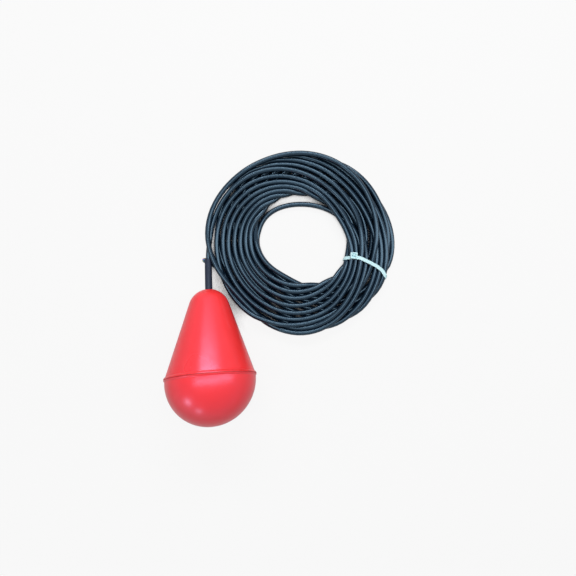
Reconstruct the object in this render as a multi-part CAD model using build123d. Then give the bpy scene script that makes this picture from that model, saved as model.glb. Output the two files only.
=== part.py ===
"""A pear-shaped cable float switch lying on its side, with its coiled cable tied beside it.

All sizes are in millimetres. The float is drawn about its own axis, station 0 at the seam and stations
growing towards the narrow end, and is then laid down on its seam bead and its narrow end.
"""
from build123d import *
import os
from math import acos, asin, atan2, cos, degrees, hypot, pi, sin, sqrt, tan

# Float body
body_diameter = 115.0
narrow_end_radius = 27.9
narrow_end_station = 90.9
rim_band = 2.8
shell_wall = 3.0

# Seam between the two shells
bead_height = 1.2
bead_half_width = 2.6
seam_ring_thickness = 1.2
seam_ring_recess = 0.4
seat_depth = 2.4
spigot_wall = 2.0
spigot_height = 5.0
spigot_skirt = 9.0
seam_fit = 0.1

# Cable, and the sleeve that stiffens it where it leaves the float
cable_diameter = 7.0
cable_fit = 0.05
sleeve_diameter = 10.0
sleeve_straight = 1.5
sleeve_bend_length = 43.5
sleeve_side_turn = 5.5
sleeve_collar_diameter = 15.6
sleeve_collar_thickness = 2.0
sleeve_edge_round = 0.8
jacket_inside = 38.8

# Cable gland in the narrow end
neck_length = 7.0
gland_boss_length = 25.0
gland_boss_wall = 3.5
gland_bore_diameter = 16.0
gland_fit = 0.1
bush_length = 8.0
bush_chamfer = 1.2
washer_thickness = 1.0
gland_passage_diameter = 8.0
nut_head_length = 5.0
nut_across_flats = 18.0
stop_ring_wall = 2.5
stop_ring_length = 4.0

# Steel ball and its track
ball_diameter = 22.0
ball_rest_station = 40.0
ball_travel = 24.0
ball_side_clearance = 0.3
ball_end_clearance = 0.1
track_wall = 1.8
cap_plug_depth = 3.0
cap_flange_thickness = 2.5
cap_fit = 0.1

# Carrier that holds the track and the switch inside the round shell
flange_station = 8.5
flange_thickness = 3.0
arm_count = 3
arm_first_angle = 90.0
arm_width = 10.0
arm_end_radius = 5.5
flange_radius = 16.0
arm_rib_height = 5.0
arm_rib_thickness = 2.0
boss_radius = 4.0
boss_inset = 6.1
boss_rib_thickness = 2.0
cheek_thickness = 2.0
cheek_margin = 2.2
cheek_drop = 21.0
cheek_fit = 0.1

# Screws that hold the carrier
screw_shank_diameter = 2.9
screw_hole_clearance = 0.05
screw_length = 14.0
screw_head_diameter = 6.4
screw_head_height = 2.2
screw_slot_width = 0.8
screw_slot_depth = 1.0

# Snap-action switch
switch_length = 27.8
switch_thickness = 10.3
switch_height = 15.9
switch_wall = 1.6
switch_cover_thickness = 2.0
switch_end_to_pivot = 1.9
mounting_hole_diameter = 3.1
mounting_hole_side = 2.8
mounting_hole_height_low = 13.1
post_block = 4.2
clamp_screw_diameter = 2.9
clamp_head_diameter = 5.5
clamp_head_height = 2.0
clamp_nut_across_flats = 5.5
clamp_nut_height = 2.4

# Lever and plunger
lever_reach = 20.0
lever_tip = 5.0
lever_width = 4.0
lever_thickness = 0.5
lever_swing = 8.0
lever_barrel_radius = 1.2
pin_diameter = 1.0
pin_fit = 0.05
pin_above_switch = 2.0
ear_thickness = 1.2
ear_gap = 0.1
press_gap = 0.15
touch_gap = 0.05
plunger_arm = 8.4
plunger_diameter = 3.0
plunger_tip_diameter = 1.0
plunger_tip_length = 2.0
plunger_fit = 0.05

# Contacts
blade_depth = 7.75
blade_thickness = 0.3
blade_width = 3.6
blade_swing = 7.3
blade_root_inset = 7.5
blade_roll_radius = 0.35
contact_inset = 7.4
contact_radius = 1.0
contact_height = 0.4
contact_gap = 0.06
terminal_thickness = 0.8
terminal_width = 4.8
terminal_tab = 8.0
closed_terminal_inset = 2.3
common_terminal_gap = 0.1

# Crimped receptacles and the cable's three cores
receptacle_thickness = 2.6
receptacle_width = 6.2
receptacle_length = 7.0
receptacle_stand = 1.0
receptacle_fit = 0.05
barrel_diameter = 3.2
barrel_length = 6.0
core_diameter = 2.3
core_ring_radius = 1.75
core_bend_radius = 4.5
core_dip = 8.0
core_side = 18.0
core_spacing = 5.0
core_rise_station = -8.0
core_gather_station = 62.0
core_join_length = 4.0
core_end_bare = 2.4
strand_diameter = 1.2
strand_bare = 0.5

# Cable coil, drawn round corners outside its real outline
coil_height = 17.0
coil_top_round = 6.0
coil_foot_round = 2.5
coil_outline = [
    (12, 97), (-5, 144), (12, 189), (51, 227), (102, 252), (158, 251), (208, 229), (243, 192),
    (264, 145), (273, 98), (245, 43), (192, -1), (125, -16), (62, 6), (28, 56),
]
coil_opening = [
    (72, 125), (83, 162), (132, 174), (181, 160), (206, 119), (187, 74), (141, 58), (94, 74),
]

# Loose ends of the cable
lead_length = 30.0
tail_route = [(33, 61), (24.5, 79), (12, 97.2), (-5.6, 107.8)]
run_share = 0.45

# Nylon cable tie round the coil
tie_width = 4.8
tie_thickness = 1.2
tie_inner_end = (191.5, 89.5)
tie_outer_end = (248.0, 60.0)
tie_corner_round = 5.0
tie_fit = 0.1
tie_proud = 0.2
tie_head_length = 9.4
tie_head_width = 8.6
tie_head_height = 6.0
tie_head_place = 17.0
tie_head_shift = 2.6
tie_head_chamfer = 1.2
tie_tail_stub = 2.0

# Places worked out from the sizes above
tie_height = coil_height + tie_proud
body_radius = body_diameter / 2
taper = atan2(body_radius, narrow_end_station) - asin(
    narrow_end_radius / hypot(body_radius, narrow_end_station))
bead_radius = (bead_half_width**2 + bead_height**2) / (2 * bead_height)
bead_centre = body_radius + bead_height - bead_radius
seam_half = seam_ring_thickness / 2
spigot_outer = body_radius - shell_wall - seat_depth
spigot_inner = spigot_outer - spigot_wall
arm_hole_radius_place = spigot_inner - boss_inset
tip_station = narrow_end_station + narrow_end_radius

# The float lies on its bead and its narrow end, which sets how far its axis falls
tilt = acos((narrow_end_radius - bead_radius) / hypot(bead_centre, narrow_end_station)) - atan2(
    narrow_end_station, bead_centre)
seam_height = bead_centre * cos(tilt) + bead_radius

cable_radius = cable_diameter / 2
sleeve_radius = sleeve_diameter / 2
gland_bore_radius = gland_bore_diameter / 2
shoulder_station = tip_station - neck_length
boss_low_station = tip_station - gland_boss_length
bush_top = shoulder_station - sleeve_collar_thickness
bush_low = bush_top - bush_length
washer_low = bush_low - washer_thickness
nut_low = boss_low_station - nut_head_length
jacket_station = tip_station - jacket_inside

ball_radius = ball_diameter / 2
track_bore = ball_radius + ball_side_clearance
track_outer = track_bore + track_wall
cap_face_station = ball_rest_station + ball_radius + ball_end_clearance
track_end = cap_face_station + cap_plug_depth
ball_pressed_station = ball_rest_station - ball_travel
ball_low_pressed = ball_pressed_station - ball_radius

pivot_x = -lever_reach
pivot_station = ball_low_pressed - press_gap - lever_barrel_radius
switch_top = pivot_station - pin_above_switch
switch_low = switch_top - switch_height
switch_left = pivot_x - switch_end_to_pivot
switch_right = switch_left + switch_length
switch_half = switch_thickness / 2
plunger_x = pivot_x + plunger_arm
plunger_travel = plunger_arm * tan(lever_swing * pi / 180)
plunger_radius = plunger_diameter / 2
hole_left = (switch_left + mounting_hole_side, switch_top - mounting_hole_side)
hole_right = (switch_right - mounting_hole_side, switch_top - mounting_hole_height_low)
blade_root = blade_root_inset - switch_right
contact_place = -switch_left - contact_inset
blade_end = contact_place + contact_radius
blade_station = switch_top - blade_depth
receptacle_top = switch_low - receptacle_stand
barrel_low = receptacle_top - receptacle_length - barrel_length
tab_places = [switch_left + closed_terminal_inset, -contact_place, -blade_root + terminal_thickness]

axis_way = Vector(0, cos(tilt), -sin(tilt))
side_turn = sleeve_side_turn * pi / 180
cable_way = Vector(sin(side_turn), cos(side_turn), 0)
sleeve_turn = acos(axis_way.dot(cable_way))
sleeve_bend_radius = sleeve_bend_length / sleeve_turn
sleeve_step = (axis_way + cable_way) * (sleeve_bend_radius * tan(sleeve_turn / 2))
sleeve_reach = axis_way.Y * (tip_station + sleeve_straight) + sleeve_step.Y

# The origin lies on the floor, midway between the round end and the sleeve's end
front_reach = sleeve_reach + sleeve_radius * sin(side_turn)
back_reach = rim_band * cos(tilt) + body_radius
seam_y = (back_reach - front_reach) / 2
laid_down = Location((0, seam_y, seam_height), (-(90 + degrees(tilt)), 0, 0))
seam_centre = Vector(0, seam_y, seam_height)
sleeve_start = seam_centre + axis_way * shoulder_station
bend_start = seam_centre + axis_way * (tip_station + sleeve_straight)
sleeve_end = bend_start + sleeve_step


def turned(section):
    """A solid turned about the float's axis from a section of radii and stations."""
    return revolve(Plane.XZ * section, axis=Axis.Z)


def band(inner, outer, low, high):
    """The section of a ring between two radii and two stations."""
    return Pos((inner + outer) / 2, (low + high) / 2) * Rectangle(outer - inner, high - low)


def block(x_low, x_high, y_low, y_high, low, high):
    """A plain block between two corners."""
    middle = Pos((x_low + x_high) / 2, (y_low + y_high) / 2, (low + high) / 2)
    return middle * Box(x_high - x_low, y_high - y_low, high - low)


def rod(radius, x, y, low, high):
    """A round bar along the float's axis."""
    return Pos(x, y, (low + high) / 2) * Cylinder(radius, high - low)


def cross_rod(radius, x, station, y_low, y_high):
    """A round bar across the switch, along its thickness."""
    return Pos(x, (y_low + y_high) / 2, station) * Rot(90, 0, 0) * Cylinder(radius, y_high - y_low)


def hexagon(across_flats):
    """A six-sided outline by its width across the flats."""
    return RegularPolygon(across_flats / 2, 6, major_radius=False)


def pear(wall):
    """Half of the float's outline, drawn inwards from the outside by a wall."""
    round_radius = body_radius - wall
    rim_radius = body_radius - wall / cos(taper)
    narrow_radius = narrow_end_radius - wall
    touch = (narrow_radius * cos(taper), narrow_end_station + narrow_radius * sin(taper))
    round_end = CenterArc((0, -rim_band), round_radius, -90, 90)
    rim = Line((round_radius, -rim_band), (rim_radius, 0))
    cone = Line((rim_radius, 0), touch)
    narrow_end = CenterArc((0, narrow_end_station), narrow_radius, degrees(taper), 90 - degrees(taper))
    middle = Line((0, narrow_end_station + narrow_radius), (0, -rim_band - round_radius))
    return make_face([round_end, rim, cone, narrow_end, middle])


def beaded_wall():
    """The section of the whole moulded wall, with the rounded bead round the seam."""
    bead = Pos(bead_centre, 0) * Circle(bead_radius)
    return pear(0) + bead - pear(shell_wall)


def upper_shell():
    """Cone half: its rim bored for the spigot, and the gland boss inside its narrow end."""
    wall = beaded_wall() & band(0, body_diameter, seam_half, tip_station + shell_wall)
    seat = band(spigot_outer + seam_fit, body_radius - shell_wall / 2, seam_half, spigot_height + seat_depth)
    seat_room = band(0, spigot_outer + seam_fit, 0, spigot_height + seat_depth)
    boss_outer = gland_bore_radius + gland_boss_wall
    boss = band(0, boss_outer, boss_low_station, tip_station) & pear(shell_wall / 2)
    neck = band(0, sleeve_radius + gland_fit, boss_low_station, tip_station + shell_wall)
    counterbore = band(0, gland_bore_radius, boss_low_station, shoulder_station)
    return turned(wall + (seat & pear(shell_wall / 2)) - seat_room + boss - neck - counterbore)


def arm_angles():
    """The directions of the carrier's arms about the float's axis."""
    return [arm_first_angle + 360 / arm_count * number for number in range(arm_count)]


def lower_shell():
    """Round half: a spigot that enters the cone half, and ribbed bosses for the carrier's screws."""
    wall = beaded_wall() & band(0, body_diameter, -body_diameter, -seam_half)
    skirt = band(spigot_inner, body_radius - shell_wall / 2, -spigot_skirt, -seam_half)
    spigot = band(spigot_inner, spigot_outer, -spigot_skirt, spigot_height)
    shell = turned(wall + skirt + spigot)
    inside = turned(pear(shell_wall / 2))
    for angle in arm_angles():
        boss = rod(boss_radius, arm_hole_radius_place, 0, -body_diameter, flange_station)
        rib = block(arm_hole_radius_place, body_radius, -boss_rib_thickness / 2, boss_rib_thickness / 2,
                    -body_diameter, -spigot_skirt / 2)
        shell += Rot(0, 0, angle) * ((boss + rib) & inside)
    for angle in arm_angles():
        pilot = rod(screw_shank_diameter / 2 + screw_hole_clearance, arm_hole_radius_place, 0,
                    flange_station + flange_thickness - screw_length - screw_hole_clearance, flange_station)
        shell -= Rot(0, 0, angle) * pilot
    return shell


def seam_ring():
    """Dark welding ring squeezed between the two rims, a little below the top of the bead."""
    outer = body_radius + bead_height - seam_ring_recess
    return turned(band(spigot_outer + seam_fit, outer, -seam_half, seam_half))


def cable_path(start):
    """The cable's middle line from a point on the float's axis to the sleeve's far end."""
    return Wire([Line(start, bend_start).edge(), TangentArc(bend_start, sleeve_end, tangent=axis_way).edge()])


def swept_round(radius, path):
    """A round bar along a path."""
    return sweep(Plane(origin=path @ 0, z_dir=path % 0) * Circle(radius), path=path)


def strain_relief_sleeve():
    """Even, stiff sleeve from the gland out of the narrow end, bending level with the floor."""
    sleeve = swept_round(sleeve_radius, cable_path(sleeve_start))
    far_edges = sleeve.edges().filter_by(GeomType.CIRCLE).sort_by(Axis.Y)[-1:]
    sleeve = fillet(far_edges, sleeve_edge_round)
    collar = laid_down * turned(band(0, sleeve_collar_diameter / 2, bush_top, shoulder_station))
    passage = swept_round(cable_radius + cable_fit, cable_path(seam_centre + axis_way * bush_low))
    return sleeve + collar - passage


def inner_cable():
    """The jacketed cable from inside the float, through the gland and sleeve, to the sleeve's end."""
    return swept_round(cable_radius, cable_path(seam_centre + axis_way * jacket_station))


def gland_bush():
    """Rubber bush squeezed on the cable."""
    inner, outer = cable_radius + cable_fit, gland_bore_radius - gland_fit
    return turned(chamfer((band(inner, outer, bush_low, bush_top)).vertices().sort_by(Axis.X)[2:], bush_chamfer))


def gland_washer():
    """Flat washer between the bush and the nut."""
    return turned(band(gland_passage_diameter / 2, gland_bore_radius - gland_fit, washer_low, bush_low))


def gland_nut():
    """Hollow nut screwed into the boss from inside, with a six-sided head."""
    screw = rod(gland_bore_radius - gland_fit, 0, 0, boss_low_station, washer_low)
    head = Pos(0, 0, nut_low) * extrude(hexagon(nut_across_flats), nut_head_length)
    return screw + head - rod(gland_passage_diameter / 2, 0, 0, nut_low, washer_low)


def cable_stop_ring():
    """Crimped ring that keeps the cable from pulling out through the gland."""
    inner = cable_radius + cable_fit
    return turned(band(inner, inner + stop_ring_wall, nut_low - stop_ring_length, nut_low))


def switch_carrier():
    """Moulded guide tube with a seat for the ball, three ribbed arms and two cheeks for the switch."""
    flange_top = flange_station + flange_thickness
    tube = rod(track_outer, 0, 0, flange_station, track_end)
    tube += rod(flange_radius, 0, 0, flange_station, flange_top)
    for angle in arm_angles():
        arm = block(0, arm_hole_radius_place, -arm_width / 2, arm_width / 2, flange_station, flange_top)
        end = rod(arm_end_radius, arm_hole_radius_place, 0, flange_station, flange_top)
        rib = block(0, arm_hole_radius_place - screw_head_diameter, -arm_rib_thickness / 2,
                    arm_rib_thickness / 2, flange_top, flange_top + arm_rib_height)
        tube += Rot(0, 0, angle) * (arm + end + rib)
    for angle in arm_angles():
        hole = rod(screw_shank_diameter / 2 + screw_hole_clearance, arm_hole_radius_place, 0,
                   flange_station, flange_top)
        tube -= Rot(0, 0, angle) * hole
    cheek_inner = switch_half + cheek_fit
    for side in (-1, 1):
        near, far = sorted((side * cheek_inner, side * (cheek_inner + cheek_thickness)))
        tube += block(switch_left - cheek_margin, switch_right + cheek_margin, near, far,
                      flange_station - cheek_drop, flange_station)
    for x, station in (hole_left, hole_right):
        tube -= cross_rod(mounting_hole_diameter / 2, x, station, -switch_thickness, switch_thickness)
    ball_seat = Pos(0, 0, ball_pressed_station) * Sphere(track_bore)
    return tube - rod(track_bore, 0, 0, ball_pressed_station, track_end) - ball_seat


def tube_cap():
    """Cap that closes the guide tube and stops the ball."""
    plug = band(0, track_bore - cap_fit, cap_face_station, track_end)
    flange = band(0, track_outer, track_end, track_end + cap_flange_thickness)
    return turned(plug + flange)


def carrier_screws():
    """One pan-head screw through each arm into its boss."""
    top = flange_station + flange_thickness
    screws = []
    for angle in arm_angles():
        head = rod(screw_head_diameter / 2, arm_hole_radius_place, 0, top, top + screw_head_height)
        head = fillet(head.edges().group_by(Axis.Z)[-1], screw_head_height / 3)
        slot = Pos(arm_hole_radius_place, 0, top + screw_head_height) * Box(
            screw_head_diameter, screw_slot_width, 2 * screw_slot_depth)
        shank = rod(screw_shank_diameter / 2, arm_hole_radius_place, 0, top - screw_length, top)
        screws.append(Rot(0, 0, angle) * (head + shank - slot))
    return screws


def steel_ball():
    """Ball that rolls along the guide tube and works the switch."""
    return Pos(0, 0, ball_rest_station) * Sphere(ball_radius)


def switch_room():
    """The hollow inside the switch's base, less the corners round its mounting holes."""
    y_low, y_high = -switch_half + switch_wall, switch_half - switch_cover_thickness
    left, right = switch_left + switch_wall, switch_right - switch_wall
    low, high = switch_low + switch_wall, switch_top - switch_wall
    room = block(left, right, y_low, y_high, low, high)
    room -= block(left, left + post_block, y_low, y_high, high - post_block, high)
    room -= block(right - post_block, right, y_low, y_high, low, low + post_block)
    return room


def switch_base():
    """Moulded base of the switch, open towards its cover, with two ears for the lever's pin."""
    base = block(switch_left, switch_right, -switch_half, switch_half - switch_cover_thickness,
                 switch_low, switch_top)
    ear_low = lever_width / 2 + ear_gap
    for side in (-1, 1):
        near, far = sorted((side * ear_low, side * (ear_low + ear_thickness)))
        base += block(switch_left, pivot_x + lever_barrel_radius, near, far, switch_top,
                      pivot_station + lever_barrel_radius)
    base -= switch_room()
    for x in tab_places:
        base -= block(x - terminal_thickness / 2, x + terminal_thickness / 2, -terminal_width / 2,
                      terminal_width / 2, switch_low, switch_low + switch_wall)
    for x, station in (hole_left, hole_right):
        base -= cross_rod(mounting_hole_diameter / 2, x, station, -switch_thickness, switch_thickness)
    base -= cross_rod(pin_diameter / 2, pivot_x, pivot_station, -switch_thickness, switch_thickness)
    return base - rod(plunger_radius + plunger_fit, plunger_x, 0, switch_top - switch_wall, switch_top)


def switch_cover():
    """Flat side cover of the switch."""
    cover = block(switch_left, switch_right, switch_half - switch_cover_thickness, switch_half,
                  switch_low, switch_top)
    for x, station in (hole_left, hole_right):
        cover -= cross_rod(mounting_hole_diameter / 2, x, station, -switch_thickness, switch_thickness)
    return cover


def lever_pin():
    """Pin that the lever turns on."""
    reach = lever_width / 2 + ear_gap + ear_thickness
    return cross_rod(pin_diameter / 2, pivot_x, pivot_station, -reach, reach)


def switch_lever():
    """Sheet lever curled round its pin, standing up from the switch while it isn't pressed."""
    half = lever_width / 2
    strip = block(0, lever_reach + lever_tip, -half, half, lever_barrel_radius - lever_thickness,
                  lever_barrel_radius)
    barrel = cross_rod(lever_barrel_radius, 0, 0, -half, half)
    lever = strip + barrel - cross_rod(pin_diameter / 2 + pin_fit, 0, 0, -lever_width, lever_width)
    return Pos(pivot_x, 0, pivot_station) * Rot(0, -lever_swing, 0) * lever


def switch_plunger():
    """Plunger with a round top under the lever and a thin tip on the contact blade."""
    swing = lever_swing * pi / 180
    under_lever = pivot_station + (lever_barrel_radius - lever_thickness) / cos(swing) + plunger_travel
    dome_station = under_lever - (plunger_radius + touch_gap) / cos(swing)
    tip_low = blade_station + blade_thickness / 2 + touch_gap
    dome = Pos(plunger_x, 0, dome_station) * Sphere(plunger_radius)
    stem = rod(plunger_radius, plunger_x, 0, tip_low + plunger_tip_length, dome_station)
    tip = rod(plunger_tip_diameter / 2, plunger_x, 0, tip_low, tip_low + plunger_tip_length)
    return dome + stem + tip


def contact_blade():
    """Springy contact blade, its rolled root on the common terminal, with a contact on each face."""
    half = blade_width / 2
    blade = block(-blade_end, -blade_root, -half, half, blade_station - blade_thickness / 2,
                  blade_station + blade_thickness / 2)
    blade += cross_rod(blade_roll_radius, -blade_root, blade_station, -half, half)
    reach = blade_thickness / 2 + contact_height
    return blade + rod(contact_radius, -contact_place, 0, blade_station - reach, blade_station + reach)


def terminal_tab_block(x, top):
    """The upright strip of a terminal, from its tab below the switch to a station inside it."""
    return block(x - terminal_thickness / 2, x + terminal_thickness / 2, -terminal_width / 2,
                 terminal_width / 2, switch_low - terminal_tab, top)


def terminal_closed():
    """Normally closed terminal, which reaches over the blade's upper contact."""
    contact_face = blade_station + blade_thickness / 2 + contact_height + contact_gap
    strip_low = contact_face + contact_height
    upright = terminal_tab_block(tab_places[0], strip_low + terminal_thickness)
    over = block(tab_places[0], -contact_place + contact_radius, -terminal_width / 2, terminal_width / 2,
                 strip_low, strip_low + terminal_thickness)
    return upright + over + rod(contact_radius, -contact_place, 0, contact_face, strip_low)


def terminal_open():
    """Normally open terminal, under the blade's lower contact."""
    drop = (contact_place - blade_root) * tan(blade_swing * pi / 180)
    contact_face = blade_station - blade_thickness / 2 - contact_height - drop - 4 * contact_gap
    upright = terminal_tab_block(tab_places[1], contact_face - contact_height)
    return upright + rod(contact_radius, -contact_place, 0, contact_face - contact_height, contact_face)


def terminal_common():
    """Common terminal, with a shelf under the blade's root."""
    shelf_top = blade_station - blade_thickness / 2 - common_terminal_gap
    upright = terminal_tab_block(tab_places[2], shelf_top)
    stop = block(tab_places[2] - terminal_thickness / 2 + common_terminal_gap,
                 tab_places[2] + terminal_thickness / 2, -terminal_width / 2, terminal_width / 2,
                 shelf_top, blade_station + blade_thickness)
    return upright + stop


def switch_screws():
    """Two screws through the cheeks and the switch."""
    grip = switch_half + cheek_fit + cheek_thickness
    screws = []
    for x, station in (hole_left, hole_right):
        shank = cross_rod(clamp_screw_diameter / 2, x, station, -grip - clamp_nut_height, grip)
        head = cross_rod(clamp_head_diameter / 2, x, station, grip, grip + clamp_head_height)
        slot = Pos(x, grip + clamp_head_height, station) * Box(
            clamp_head_diameter, 2 * screw_slot_depth, screw_slot_width)
        screws.append(shank + head - slot)
    return screws


def switch_nuts():
    """The nuts of those two screws."""
    grip = switch_half + cheek_fit + cheek_thickness
    nuts = []
    for x, station in (hole_left, hole_right):
        flats = Plane(origin=(x, -grip, station), z_dir=(0, -1, 0)) * hexagon(clamp_nut_across_flats)
        nut = extrude(flats, clamp_nut_height)
        nuts.append(nut - cross_rod(clamp_screw_diameter / 2, x, station, -switch_length, switch_length))
    return nuts


def crimp_receptacles():
    """A pushed-on receptacle and crimped barrel on each terminal's tab."""
    pieces = []
    for x in tab_places:
        low = receptacle_top - receptacle_length
        body = block(x - receptacle_thickness / 2, x + receptacle_thickness / 2, -receptacle_width / 2,
                     receptacle_width / 2, low, receptacle_top)
        slot = block(x - terminal_thickness / 2 - receptacle_fit, x + terminal_thickness / 2 + receptacle_fit,
                     -terminal_width / 2 - receptacle_fit, terminal_width / 2 + receptacle_fit,
                     switch_low - terminal_tab - receptacle_fit, receptacle_top)
        pieces.append(body + rod(barrel_diameter / 2, x, 0, barrel_low, low) - slot)
    return pieces


def core(number):
    """One insulated core, from its crimp round under the carrier and up to the end of the jacket."""
    x = tab_places[number]
    side_x = (number - 1) * core_spacing
    angle = (150 + 120 * number) * pi / 180
    join = (core_ring_radius * cos(angle), core_ring_radius * sin(angle))
    points = [
        (x, 0, barrel_low), (x, 0, barrel_low - core_dip), (x, -core_side, barrel_low - core_dip),
        (side_x, -core_side, core_rise_station), (side_x, -core_side, core_gather_station),
        (*join, jacket_station - core_join_length), (*join, jacket_station),
    ]
    path = FilletPolyline(*points, radius=core_bend_radius)
    return swept_round(core_diameter / 2, path)


def rounded_outline(corners):
    """A closed outline of straight runs and arcs as large as the runs allow."""
    radii = corner_radii([corners[-1], *corners, corners[0]])
    return make_face(FilletPolyline(*corners, radius=radii, close=True).edges())


def corner_radii(points):
    """The arc at each inner point of a route, from its shorter run and its turn."""
    radii = []
    for before, here, after in zip(points, points[1:], points[2:]):
        run_in = Vector(*here) - Vector(*before)
        run_out = Vector(*after) - Vector(*here)
        half_turn = run_in.get_angle(run_out) * pi / 360
        radii.append(run_share * min(run_in.length, run_out.length) / tan(half_turn))
    return radii


def tie_place():
    """The upright plane of the tie's loop, its first direction running out across the coil."""
    inner, outer = Vector(*tie_inner_end), Vector(*tie_outer_end)
    across = (outer - inner).normalized()
    return Plane(origin=(inner + outer) / 2, x_dir=across, z_dir=across.cross(Vector(0, 0, 1)))


def tie_loop(shrink):
    """The rounded loop of the tie, drawn inwards from its outside."""
    length = (Vector(*tie_outer_end) - Vector(*tie_inner_end)).length
    loop = RectangleRounded(length - 2 * shrink, tie_height - 2 * shrink, tie_corner_round - shrink)
    return tie_place() * Pos(0, tie_height / 2) * loop


def cable_coil():
    """The outer shape of the coiled cable, pinched where the tie holds it."""
    ring = extrude(rounded_outline(coil_outline) - rounded_outline(coil_opening), coil_height)
    ring = fillet(ring.edges().group_by(Axis.Z)[-1], coil_top_round)
    ring = fillet(ring.edges().group_by(Axis.Z)[0], coil_foot_round)
    groove_half = tie_width / 2 + tie_fit
    held = extrude(tie_loop(tie_thickness + tie_fit), groove_half, both=True)
    groove = extrude(tie_place() * Rectangle(2 * tie_head_width * tie_height, 4 * coil_height),
                     groove_half, both=True)
    return ring - (groove - held)


def cable_tie():
    """Nylon tie: a flat loop, a block-shaped head to one side of it, and the trimmed tail."""
    strap = extrude(tie_loop(0) - tie_loop(tie_thickness), tie_width / 2, both=True)
    length = (Vector(*tie_outer_end) - Vector(*tie_inner_end)).length
    centre = Pos(tie_head_place - length / 2, tie_height + tie_head_height / 2, -tie_head_shift)
    head = Box(tie_head_length, tie_head_height, tie_head_width)
    head = chamfer(head.edges().filter_by(Axis.Y), tie_head_chamfer)
    stub = Pos(0, (tie_head_height + tie_tail_stub) / 2, 0) * Box(tie_thickness, tie_tail_stub, tie_width)
    seat = tie_place().location
    return strap + seat * centre * (head + stub)


def cable_lead(coil):
    """The cable straight out of the sleeve until it runs in under the coil's outer turn."""
    path = Line(sleeve_end, sleeve_end + cable_way * lead_length)
    return outermost(swept_round(cable_radius, path) - coil, sleeve_end)


def tail_path():
    """The cable's free end, lying on the floor under the sleeve."""
    points = [(x, y, cable_radius) for x, y in tail_route]
    radii = corner_radii(points)
    print("tail radii", [round(radius, 1) for radius in radii], "length", round(
        FilletPolyline(*points, radius=radii).length, 1))
    return FilletPolyline(*points, radius=radii)


def cable_tail(coil):
    """The cable's free end, from the coil to its cut end."""
    path = tail_path()
    return outermost(swept_round(cable_radius, path) - coil, path @ 1)


def outermost(pieces, point):
    """The one solid of a cut tube that holds its free end."""
    return min(pieces.solids(), key=lambda solid: solid.distance_to(Vertex(*point)))


def tail_end(number):
    """Place and direction of one core at the cable's cut end."""
    path = tail_path()
    angle = (90 + 120 * number) * pi / 180
    end = Plane(origin=path @ 1, z_dir=path % 1)
    return end * Pos(core_ring_radius * cos(angle), core_ring_radius * sin(angle), 0)


def tail_core(number):
    """The insulation of one core where it comes out of the cut jacket."""
    return tail_end(number) * extrude(Circle(core_diameter / 2) - Circle(strand_diameter / 2), core_end_bare)


def tail_strands():
    """The three bare copper conductors in the cores' cut ends."""
    length = core_end_bare + strand_bare
    return [tail_end(number) * extrude(Circle(strand_diameter / 2), length) for number in range(3)]


def build():
    """Every node by name; the float's own pieces are laid down together."""
    inside_float = {
        "upper_shell": upper_shell(), "lower_shell": lower_shell(), "seam_ring": seam_ring(),
        "gland_bush": gland_bush(), "gland_washer": gland_washer(), "gland_nut": gland_nut(),
        "cable_stop_ring": cable_stop_ring(), "switch_carrier": switch_carrier(), "tube_cap": tube_cap(),
        "carrier_screws": carrier_screws(), "steel_ball": steel_ball(), "switch_base": switch_base(),
        "switch_cover": switch_cover(), "lever_pin": lever_pin(), "switch_lever": switch_lever(),
        "switch_plunger": switch_plunger(), "contact_blade": contact_blade(),
        "terminal_common": terminal_common(), "terminal_open": terminal_open(),
        "terminal_closed": terminal_closed(), "switch_screws": switch_screws(),
        "switch_nuts": switch_nuts(), "crimp_receptacles": crimp_receptacles(),
        "core_blue": core(0), "core_brown": core(1), "core_green": core(2),
    }
    nodes = {name: moved(shape, laid_down) for name, shape in inside_float.items()}
    nodes["strain_relief_sleeve"] = strain_relief_sleeve()
    nodes["inner_cable"] = inner_cable()
    coil = cable_coil()
    nodes["cable_coil"] = coil
    nodes["cable_lead"] = cable_lead(coil)
    nodes["cable_tail"] = cable_tail(coil)
    nodes["tail_core_blue"] = tail_core(0)
    nodes["tail_core_brown"] = tail_core(1)
    nodes["tail_core_green"] = tail_core(2)
    nodes["tail_strands"] = tail_strands()
    nodes["cable_tie"] = cable_tie()
    return nodes


def moved(shape, location):
    """A shape, or each of a list of shapes, put in its place."""
    if isinstance(shape, list):
        return [location * one for one in shape]
    return location * shape


os.makedirs("parts", exist_ok=True)
print("axis falls by", round(degrees(tilt), 2), "degrees; seam centre", [round(v, 2) for v in seam_centre])
print("sleeve end", [round(v, 2) for v in sleeve_end], "bend radius", round(sleeve_bend_radius, 1))
for name, shape in build().items():
    solids = [one for piece in (shape if isinstance(shape, list) else [shape]) for one in piece.solids()]
    export_step(solids[0] if len(solids) == 1 else Compound(solids), f"parts/{name}.step")
    print(name, len(solids), round(sum(solid.volume for solid in solids), 2))
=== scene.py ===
# %% [markdown]
# A float switch lies on a pale table: a red, pear-shaped float, and about ten metres of its cable
# coiled beside it and held by one nylon tie. The solid model of it is already made. This lesson loads
# that model as a fixed frame, replaces the plain coil by a real length of cable, and then gives each
# piece a finish. Places are in the solid model's own frame, so nothing has to be fitted. The cable and
# the tie are worked out in millimetres there, and multiplied by mm where Blender gets them in metres.

# %% Load the frame
import math
import bmesh
import bpy
import numpy as np
from mathutils import Matrix, Vector


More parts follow.
